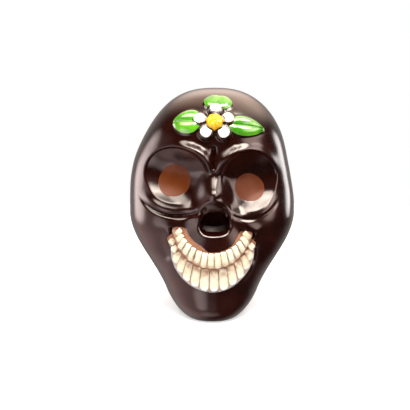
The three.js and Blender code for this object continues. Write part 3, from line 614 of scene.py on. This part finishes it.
# detail that is moved square to the surface: bosses under the flower, pockets of eyes and mouth
def fineRelief(points):
    x, z = points[..., 0], points[..., 2]
    f, m = flower, mouth

    # places along and aside of a resting place
    def spread(*place):
        origin, outward, along, aside = restingPlace(*place)
        away = points - origin
        return away @ along, away @ aside

    boss = np.zeros(x.shape)
    for index in range(len(f["petals"])):
        along, aside = spread(*petalPlace(index))
        a = along / (f["halfLength"] + f["bossMargin"])
        b = aside / ((f["halfWidth"] + f["bossMargin"]) * (1 + f["egg"] * np.clip(a, -1, 1)))
        boss = np.maximum(boss, f["bossRise"] * (1 - smooth(np.hypot(a, b), *f["bossEdge"])))
    middle = np.hypot(*spread(f["x"], f["z"], 0)) / (f["budRadius"] + f["budBossMargin"])
    boss = np.maximum(boss, f["budBossRise"] * (1 - smooth(middle, *f["budBossEdge"])))
    for leaf in leaves.values():
        reach = leafReach(leaf, *spread(*leafPlace(leaf)))
        boss = np.maximum(boss, leafForm["bossRise"] * (1 - smooth(reach, *leafForm["bossEdge"])))
    sink = np.zeros(x.shape)
    for s in sockets.values():
        along, aside = spread(s["spotX"], s["spotZ"], 0)
        distance = np.hypot(along / s["spotWide"], aside)
        pocketEdge = [s["spotRadius"] - inset for inset in eyeForm["pocketEdge"]]
        sink = np.maximum(sink, eyeForm["pocket"] * (1 - smooth(distance, *pocketEdge)))
    angle = np.degrees(np.arctan2(x - m["x"], m["z"] - z))
    distance = np.hypot(x - m["x"], m["z"] - z)
    low, high = gumEdges("upper", angle)
    high = np.maximum(high, gumEdges("lower", angle)[1])
    edge = np.maximum(m["recessLeast"], np.minimum(m["gumEdge"], (high - low) / 3))
    inside = smooth(distance, low + m["recessInset"], low + edge)
    inside = inside * (1 - smooth(distance, high - edge, high - m["recessInset"]))
    ends = (angle > rows["upper"]["gum"][0]) & (angle < rows["upper"]["gum"][1])
    sink = np.maximum(sink, m["recess"] * inside * ends)
    rim = m["rimRise"] * swell(distance - high - m["rimAway"], m["rimSpread"])
    rim = rim * smooth(angle, *m["rimStart"]) * (1 - smooth(angle, *m["rimEnd"])) * (z < m["z"])
    return boss - sink + rim


# the two cast halves
shellGrid = {"faceColumns": 250, "faceRows": 300, "backColumns": 130, "backRows": 170,
             "innerColumns": 20, "baseRows": 8, "crownShare": 0.16, "crownStart": 0.82,
             "crowdMiddle": 0.75}   # columns lie closer together in the middle of the face


def shellLevels(count):
    crown = int(count * shellGrid["crownShare"])
    start = shellGrid["crownStart"] * skull["height"]
    body = np.linspace(0, start, count - crown, endpoint=False)
    top = start + (skull["height"] - start) * np.sin(np.linspace(0, math.pi / 2, crown))
    return np.concatenate([body, top])


def gridNormals(points, side):
    alongColumn = np.gradient(points, axis=1)
    alongRow = np.gradient(points, axis=0)
    normal = np.cross(alongColumn, alongRow) * side
    length = np.linalg.norm(normal, axis=-1, keepdims=True)
    return normal / np.maximum(length, 1e-9)


# one half: outer columns, inner columns back again, base rows below, poles merged afterwards
def castHalf(pointAt, side, columns, rowCount, detail):
    heights = shellLevels(rowCount)
    seam = -side * skull["seamGap"] / 2
    layers = []
    skins = ((columns, faceRelief, 0), (shellGrid["innerColumns"], innerRelief, skull["wall"]))
    crowd = shellGrid["crowdMiddle"]
    for count, relief, inset in skins:
        place = np.linspace(-1, 1, count + 1)
        turn = math.pi / 2 * (crowd * place + (1 - crowd) * place ** 3)
        turns, z = np.meshgrid(turn, heights)
        layer = np.stack(pointAt(turns, z, relief, inset), -1)
        if inset:
            layer[..., 2] = inset + (skull["height"] - 2 * inset) * z / skull["height"]
        elif detail is not None:
            layer = layer + gridNormals(layer, side) * detail(layer)[..., None]
        layer[:, [0, -1], 1] = seam
        layer[..., 1] = np.minimum(layer[..., 1], seam) if side > 0 else np.maximum(layer[..., 1], seam)
        layer[-1] = [leanAt(skull["height"]), seam, skull["height"] - inset]
        share = np.linspace(0, 1, shellGrid["baseRows"], endpoint=False)[:, None, None]
        centre = np.array([0, seam, inset])
        floor = centre + share * (layer[0][None] - centre)
        floor[..., 2] = layer[0, 0, 2]
        layers.append(np.concatenate([floor, layer]))
    outer, inner = layers
    return np.concatenate([outer, inner[:, ::-1], outer[:, :1]], axis=1)


def castPiece(points):
    rowCount, columnCount = points.shape[:2]
    deselectAll()
    bpy.ops.mesh.primitive_grid_add(x_subdivisions=columnCount - 1, y_subdivisions=rowCount - 1, size=2)
    obj = bpy.context.active_object
    flat = readCoords(obj)
    column = np.rint((flat[:, 0] + 1) / 2 * (columnCount - 1)).astype(int)
    row = np.rint((flat[:, 1] + 1) / 2 * (rowCount - 1)).astype(int)
    placeCoords(obj, points[row, column])
    closeMesh(obj, angle=48)
    return obj


face = castPiece(castHalf(frontPoints, 1, shellGrid["faceColumns"], shellGrid["faceRows"], fineRelief))
finishPiece(face, "face_shell", "face_half", darkChocolate)
back = castPiece(castHalf(backPoints, -1, shellGrid["backColumns"], shellGrid["backRows"], None))
finishPiece(back, "back_shell", "back_half", darkChocolate)
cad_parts["seam_bead"].data.materials.clear()
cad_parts["seam_bead"].data.materials.append(darkChocolate)
print("shells cast")


# pieces laid on the front
# a ball is pressed into a lens on the surface: outline(angle), top and under heights by reach
def layPiece(place, outline, top, under, segments, rings):
    deselectAll()
    bpy.ops.mesh.primitive_uv_sphere_add(segments=segments, ring_count=rings, radius=1)
    obj = bpy.context.active_object
    ball = readCoords(obj)
    polar = np.arccos(np.clip(ball[:, 2], -1, 1)) / (math.pi / 2)
    upper = polar <= 1.0001
    reach = np.minimum(np.where(upper, polar, 2 - polar), 1)
    angle = np.arctan2(ball[:, 1], ball[:, 0])
    origin, outward, along, aside = restingPlace(*place)
    a, b = outline(angle)
    points = origin + (a * reach)[:, None] * along + (b * reach)[:, None] * aside
    surface = dropOnFront(points, outward)
    height = np.where(upper, top(reach, angle), under(reach, angle))
    placeCoords(obj, surface + height[:, None] * outward)
    closeMesh(obj, angle=60)
    return obj, reach, angle, upper


def eyeTop(reach, angle):
    return eyeForm["rise"] - eyeForm["edgeFall"] * reach ** eyeForm["edgePower"]


def eyeUnder(reach, angle):
    return -eyeForm["under"] - eyeForm["depth"] * (1 - reach ** eyeForm["depthPower"])


for name, s in sockets.items():
    def spotOutline(angle):
        return s["spotRadius"] * s["spotWide"] * np.cos(angle), s["spotRadius"] * np.sin(angle)

    eye = layPiece((s["spotX"], s["spotZ"], 0), spotOutline, eyeTop, eyeUnder, segments=96, rings=40)[0]
    finishPiece(eye, name + "_inlay", name, milkChocolate)
print("eyes inlaid")

gumGrid = {"along": 150, "across": 18}
gumPaint = {"smear": 0.85, "smearStart": 0.3, "smearEnd": (0.6, 0.2), "smearSpan": (-6, 0),
            "film": 0.9, "filmEdge": (1.2, 0.1), "filmSpan": (-2, 8)}
for name, row in rows.items():
    deselectAll()
    bpy.ops.mesh.primitive_grid_add(x_subdivisions=gumGrid["along"], y_subdivisions=gumGrid["across"], size=2)
    gum = bpy.context.active_object
    flat = readCoords(gum)
    first, last = row["gum"]
    angle = mix(first, last, (flat[:, 0] + 1) / 2)
    low, high = gumEdges(name, angle)
    distance = mix(low, high, (flat[:, 1] + 1) / 2)
    x, z = mouthPlace(angle, distance)
    fromLip = distance - low if name == "upper" else high - distance
    toEnd = np.minimum(angle - first, last - angle) * mouth["endFall"]
    drop = mix(mouth["gumProud"], -mouth["gumDrop"], smooth(np.minimum(fromLip, toEnd), 0, mouth["gumEdge"]))
    points = np.stack([x, -frontDepth(x, z), z], -1) + drop[:, None] * frontNormal(x, z)
    placeCoords(gum, points)
    inner, outer = rowEdge(row["inner"], row, angle), rowEdge(row["outer"], row, angle)
    withinRow = np.minimum(angle - row["first"], row["last"] - angle)
    start = inner - gumPaint["smearStart"]
    before, past = gumPaint["smearEnd"]
    smear = smooth(distance, start, start + row["smearFade"])
    smear = smear * (1 - smooth(distance, outer - before, outer + past))
    smear = smear * smooth(withinRow, *gumPaint["smearSpan"])
    addFloatAttribute(gum, "smear", gumPaint["smear"] * smear)
    before, past = gumPaint["filmEdge"]
    film = smooth(distance, outer - before, outer + past) if name == "lower" else 0 * distance
    addFloatAttribute(gum, "film", gumPaint["film"] * film * smooth(withinRow, *gumPaint["filmSpan"]))
    thicken = gum.modifiers.new("thickness", "SOLIDIFY")
    thicken.thickness = mouth["gumThickness"] * mm
    closeMesh(gum, angle=60)
    if np.mean([p.normal.y for p in gum.data.polygons]) > 0:
        bpy.ops.object.mode_set(mode="EDIT")
        bpy.ops.mesh.select_all(action="SELECT")
        bpy.ops.mesh.flip_normals()
        bpy.ops.object.mode_set(mode="OBJECT")
    thicken.offset = -1
    bpy.ops.object.modifier_apply(modifier=thicken.name)
    finishPiece(gum, name + "_gum_band", name + "_gum", gumChocolate)
print("gums laid")

ribs = {"fullness": 9, "freeEnd": 2.7, "upright": 0.4, "gap": 0.02, "under": 0.5,
        "sideFall": 0.42, "sideFallAtGum": 0.05, "endFall": 0.42, "endPower": 5, "runTogether": (-0.95, -0.2),
        "lowerFall": 0.35, "lowerFallSpan": (0.2, 1.0),
        "unevenLength": 1.9, "unevenWidth": 0.13, "evenlyLaid": 0.4, "looselyLaid": 1.0, "looseUpTo": -15,
        # brownSide, brownFoot and brownTip place painted shade in the grooves and towards the gap between the
        # rows
        "brownSide": (0.25, 0.95), "brownFoot": (0.0, 0.8), "brownTip": 0.5, "brownTipSpan": (-0.2, 0.9),
        "film": 0.8, "filmSpan": (0.3, 0.9)}


def ribCurve(value, fullness):
    return np.sign(value) * np.abs(value) ** (2 / fullness)


# along and across the rib as shares of its half size; its free end is the rounder one
def ribShares(turn):
    forward, sideways = np.cos(turn), np.sin(turn)
    fullness = np.where(forward > 0, ribs["freeEnd"], ribs["fullness"])
    return ribCurve(forward, fullness), ribCurve(sideways, fullness)


uneven = np.random.default_rng(5).uniform(0, 1, (40, 2))   # hand-laid: no two ribs alike
for name, row in rows.items():
    pitch = (row["last"] - row["first"]) / (row["count"] - 1)
    for index in range(row["count"]):
        angle = row["first"] + pitch * index
        inner, outer = rowEdge(row["inner"], row, angle), rowEdge(row["outer"], row, angle)
        loose = name == "upper" and angle < ribs["looseUpTo"]
        handLaid = ribs["looselyLaid"] if loose else ribs["evenlyLaid"]
        outer = outer - handLaid * ribs["unevenLength"] * uneven[index, 0] + row["longer"]
        x, z = mouthPlace(angle, (inner + outer) / 2)
        halfLength = (outer - inner) / 2
        halfWidth = (math.radians(pitch) * (inner + outer) / 2 - ribs["gap"]) / 2
        lean = angle * ribs["upright"]
        halfWidth = halfWidth * (1 - handLaid * ribs["unevenWidth"] * uneven[index, 1])
        halfWidth = halfWidth * math.cos(math.radians(lean))
        flare = (1 - ribs["upright"]) * halfLength / ((inner + outer) / 2)

        # the ribs run together at the gum line above and at the edge below
        def gumShare(lengthwise):
            away = lengthwise if name == "upper" else -lengthwise
            return smooth(away, *ribs["runTogether"])

        def ribOutline(turn):
            forward, sideways = ribShares(turn)
            return halfLength * forward, halfWidth * sideways * (1 + flare * forward)

        def ribTop(reach, turn):
            lengthwise, crosswise = (reach * share for share in ribShares(turn))
            fall = mix(ribs["sideFallAtGum"], ribs["sideFall"], gumShare(lengthwise))
            rise = row["crown"] * np.sqrt(np.maximum(0, 1 - fall * crosswise ** 2))
            rise = rise * (1 - ribs["endFall"] * np.abs(lengthwise) ** ribs["endPower"])
            if name == "lower":
                rise = rise * mix(1.0, ribs["lowerFall"], smooth(-lengthwise, *ribs["lowerFallSpan"]))
            return rise - mouth["gumDrop"]

        tooth, reach, turn, upper = layPiece(
            (x, z, angle - lean - 90), ribOutline, ribTop,
            lambda reach, turn: -mouth["gumDrop"] - ribs["under"] + 0 * reach, segments=32, rings=16)
        lengthwise, crosswise = (reach * share for share in ribShares(turn))
        # brown at the rib's sides, at the lower teeth's tops and at the upper teeth's free ends: painted
        # shade of the grooves and of the gap between the rows, partly dark chocolate under thin white and gum
        # brown over the lower tops
        brown = row["brown"] * smooth(np.abs(crosswise), *ribs["brownSide"]) * gumShare(lengthwise)
        if name == "lower":
            brown = np.maximum(brown, smooth(-lengthwise, *ribs["brownFoot"]))
            film = ribs["film"] * smooth(lengthwise, *ribs["filmSpan"])
        else:
            brown = np.maximum(brown, ribs["brownTip"] * smooth(lengthwise, *ribs["brownTipSpan"]))
            film = 0 * lengthwise
        addFloatAttribute(tooth, "thin_and_shade", np.where(upper, brown, 1.0))
        addFloatAttribute(tooth, "film", film)
        number = f"{index + 1:02d}"
        node = f"{name}_tooth_{number}"
        finishPiece(tooth, f"{name}_rib_{number}", node, whiteChocolate)
print("teeth set")

flowerMiddle = restingPlace(flower["x"], flower["z"], 0)[0]
for index in range(len(flower["petals"])):
    fromMiddle = np.linalg.norm(restingPlace(*petalPlace(index))[0] - flowerMiddle)

    # the inner end gives way to the round flower centre
    def petalOutline(angle):
        forward, sideways = np.cos(angle), np.sin(angle)
        aside = flower["halfWidth"] * sideways * (1 + flower["egg"] * forward)
        budReach = flower["budRadius"] + flower["budGap"]
        centre = np.sqrt(np.maximum(0, budReach ** 2 - aside ** 2)) - fromMiddle
        return np.maximum(flower["halfLength"] * forward, centre), aside

    def petalTop(reach, angle):
        return seat + flower["thickness"] * np.sqrt(1 - flower["dome"] * reach ** flower["domePower"])

    seat = flower["bossRise"] + flower["seat"]
    petal = layPiece(petalPlace(index), petalOutline, petalTop,
                     lambda reach, angle: seat + 0 * reach, segments=40, rings=20)[0]
    finishPiece(petal, f"petal_cap_{index + 1}", f"petal_{index + 1}", petalWhite)

golden = math.pi * (3 - math.sqrt(5))   # turn from one knob to the next
knobs = [(math.sqrt((k + 0.4) / flower["knobs"]), k * golden) for k in range(flower["knobs"])]


def budTop(reach, angle):
    dome = np.sqrt(np.maximum(0, 1 - flower["budDome"] * reach ** 2))
    height = flower["budFoot"] + flower["budRise"] * dome
    x, y = reach * np.cos(angle), reach * np.sin(angle)
    for distance, turn in knobs:
        away = np.hypot(x - distance * math.cos(turn), y - distance * math.sin(turn)) * flower["budRadius"]
        height = height + flower["knobRise"] * swell(away, flower["knobReach"]) * (1 - reach ** 8)
    return height


# a round edge with small dents
def budOutline(angle):
    share = flower["budEdge"]
    for depth, count, start in flower["budDents"]:
        share = share + depth * np.sin(count * angle + start)
    radius = flower["budRadius"] * share
    return radius * np.cos(angle), radius * np.sin(angle)


bud = layPiece((flower["x"], flower["z"], 0), budOutline, budTop,
               lambda reach, angle: flower["budUnder"] + 0 * reach, segments=96, rings=48)[0]
finishPiece(bud, "flower_knob", "flower_centre", flowerYellow)


# each half of a leaf is a small pillow, with the midrib as the groove between them
def leafTop(reach, angle):
    side = np.abs(reach * np.sin(angle))
    pillow = np.sqrt(1 - leafForm["fold"] * (2 * side - 1) ** 2)
    edge = 1 - leafForm["edgeFall"] * reach ** leafForm["edgePower"]
    return leafForm["bossRise"] + leafForm["thickness"] * pillow * edge


for name, leaf in leaves.items():
    blade = layPiece(
        leafPlace(leaf), lambda angle: leafOutline(leaf, angle), leafTop,
        lambda reach, angle: leafForm["bossRise"] - leafForm["under"] + 0 * reach, segments=72, rings=36)[0]
    finishPiece(blade, name + "_blade", name, leafGreen)
print("flower laid")

# floor, light and camera
studio = {"floorRadius": 0.5, "floorGlow": 0.62, "dark": 0.012, "lampAim": (0, 0, 0.07)}
deselectAll()
bpy.ops.mesh.primitive_circle_add(vertices=128, radius=studio["floorRadius"], fill_type="NGON")
floor = bpy.context.active_object
floor.name = "floor"
floorPaint, tree, shader = newMaterial("floor_paint", 0.7)
grain = objectNoise(tree, scale=40, detail=2)
tone = ramp(tree, grain.outputs["Fac"], [(0.3, (0.79, 0.79, 0.79)), (0.7, (0.81, 0.81, 0.81))])
tree.links.new(tone.outputs["Color"], shader.inputs["Base Color"])
floor.data.materials.append(floorPaint)
shader.inputs["Emission Color"].default_value = (1, 1, 1, 1)
shader.inputs["Emission Strength"].default_value = studio["floorGlow"]
floor.visible_glossy = False

# white all round for the eye, while the gloss mirrors a few broad glows in a dark room
glows = [   # direction, where it starts and is full (cosine), strength, colour
    ((0.1, 0.65, 0.75), 0.72, 0.97, 2.2, (1.0, 0.70, 0.53)),        # lit wall behind and above
    ((0.45, 0.45, 0.77), 0.82, 1.0, 1.4, (1.0, 0.84, 0.70)),        # its brighter right part
    ((0.86, -0.42, 0.28), 0.87, 0.99, 5.5, (1.0, 0.74, 0.67)),      # soft light from the right
    ((0.88, -0.02, 0.47), 0.955, 0.99, 6.0, (1.0, 0.80, 0.74)),     # its upper edge
    ((0, 1, 0), 0.45, 0.95, 0.4, (1.0, 0.90, 0.85)),                # wall behind
    ((-0.85, 0, -0.55), 0.45, 0.9, 1.2, (1.0, 0.68, 0.65)),         # white board low on the left
    ((-0.1, -0.15, -1), 0.86, 1.0, 0.9, (1.0, 0.84, 0.82)),         # table
    ((-0.1, -0.85, -0.55), 0.88, 1.0, 0.5, (1.0, 0.84, 0.82)),      # its front edge
    ((-0.7, -0.65, -0.25), 0.84, 1.0, 2.7, (1.0, 0.84, 0.83)),      # grey card in front on the left
    ((0, 0.89, 0.45), 0.93, 1.0, 0.62, (1.0, 0.98, 1.0)),           # white ceiling edge behind
    ((-0.87, 0.49, 0.03), 0.925, 1.0, 6.2, (1.0, 0.83, 0.81)),      # soft panel on the left
    ((0.74, 0.67, 0.03), 0.978, 0.999, 6.5, (1.0, 0.95, 0.94)),     # soft strip on the right
    ((-0.42, -0.20, 0.88), 0.94, 0.985, 13.0, (1.0, 0.87, 0.76)),   # softboxes overhead
    ((0.47, -0.20, 0.86), 0.94, 0.985, 27.0, (1.0, 0.87, 0.76)),
    ((0, -0.37, 0.93), 0.96, 0.992, 20.0, (1.0, 0.87, 0.76)),       # strip overhead
    ((0.02, -0.14, 0.99), 0.975, 0.995, 15.0, (1.0, 0.87, 0.76)),
]
world = bpy.data.worlds.new("studio")
bpy.context.scene.world = world
world.use_nodes = True
world.cycles_visibility.diffuse = False
tree = world.node_tree
background = tree.nodes["Background"]
coords = tree.nodes.new("ShaderNodeTexCoord")
total = None
for direction, start, full, strength, colour in glows:
    along = tree.nodes.new("ShaderNodeVectorMath")
    along.operation = "DOT_PRODUCT"
    tree.links.new(coords.outputs["Generated"], along.inputs[0])
    along.inputs[1].default_value = Vector(direction).normalized()
    glow = mapRange(tree, along.outputs["Value"], start, full, 0, strength)
    glow.interpolation_type = "SMOOTHSTEP"
    tint = tree.nodes.new("ShaderNodeVectorMath")
    tint.operation = "SCALE"
    tint.inputs[0].default_value = colour
    tree.links.new(glow.outputs["Result"], tint.inputs["Scale"])
    add = tree.nodes.new("ShaderNodeVectorMath")
    add.operation = "ADD"
    tree.links.new(tint.outputs["Vector"], add.inputs[0])
    add.inputs[1].default_value = (studio["dark"],) * 3
    if total is not None:
        tree.links.new(total.outputs["Vector"], add.inputs[1])
    total = add
rays = tree.nodes.new("ShaderNodeLightPath")
seen = blend(tree, rays.outputs["Is Camera Ray"], total.outputs["Vector"], (1.0, 1.0, 1.0))
tree.links.new(seen, background.inputs["Color"])

# place, size across and up, power in watts, colour; the fill lights the colours, the strip the gloss
lamps = {
    "strip_front": ((0.0, -0.60, 0.95), (0.08, 0.36), 1.4, (1.0, 0.87, 0.76)),
    "fill": ((0.0, -0.45, 1.0), (1.1, 0.6), 31.0, (1.0, 1.0, 1.0)),
}
for name, (place, size, power, colour) in lamps.items():
    deselectAll()
    bpy.ops.object.light_add(type="AREA", location=place)
    lamp = bpy.context.active_object
    lamp.name = name
    lamp.data.shape = "RECTANGLE"
    lamp.data.size, lamp.data.size_y = size
    lamp.data.energy = power
    lamp.data.color = colour
    lamp.visible_glossy = name != "fill"
    lamp.visible_diffuse = name == "fill"
    towards = Vector(studio["lampAim"]) - Vector(place)
    lamp.rotation_euler = towards.to_track_quat("-Z", "Y").to_euler()

view = {"distance": 1.1, "elevation": 8.0, "aimX": -4.53, "aimZ": 68.5, "lens": 149.4}
aim = Vector((view["aimX"] * mm, seamLine * mm, view["aimZ"] * mm))
tilt = math.radians(view["elevation"])
bpy.ops.object.camera_add(location=aim + Vector((0, -math.cos(tilt), math.sin(tilt))) * view["distance"])
camera = bpy.context.active_object
camera.rotation_euler = (math.pi / 2 - tilt, 0, 0)
camera.data.lens = view["lens"]
camera.data.sensor_width = 36
bpy.context.scene.camera = camera
bpy.context.scene.view_settings.view_transform = "Standard"
print("studio set")
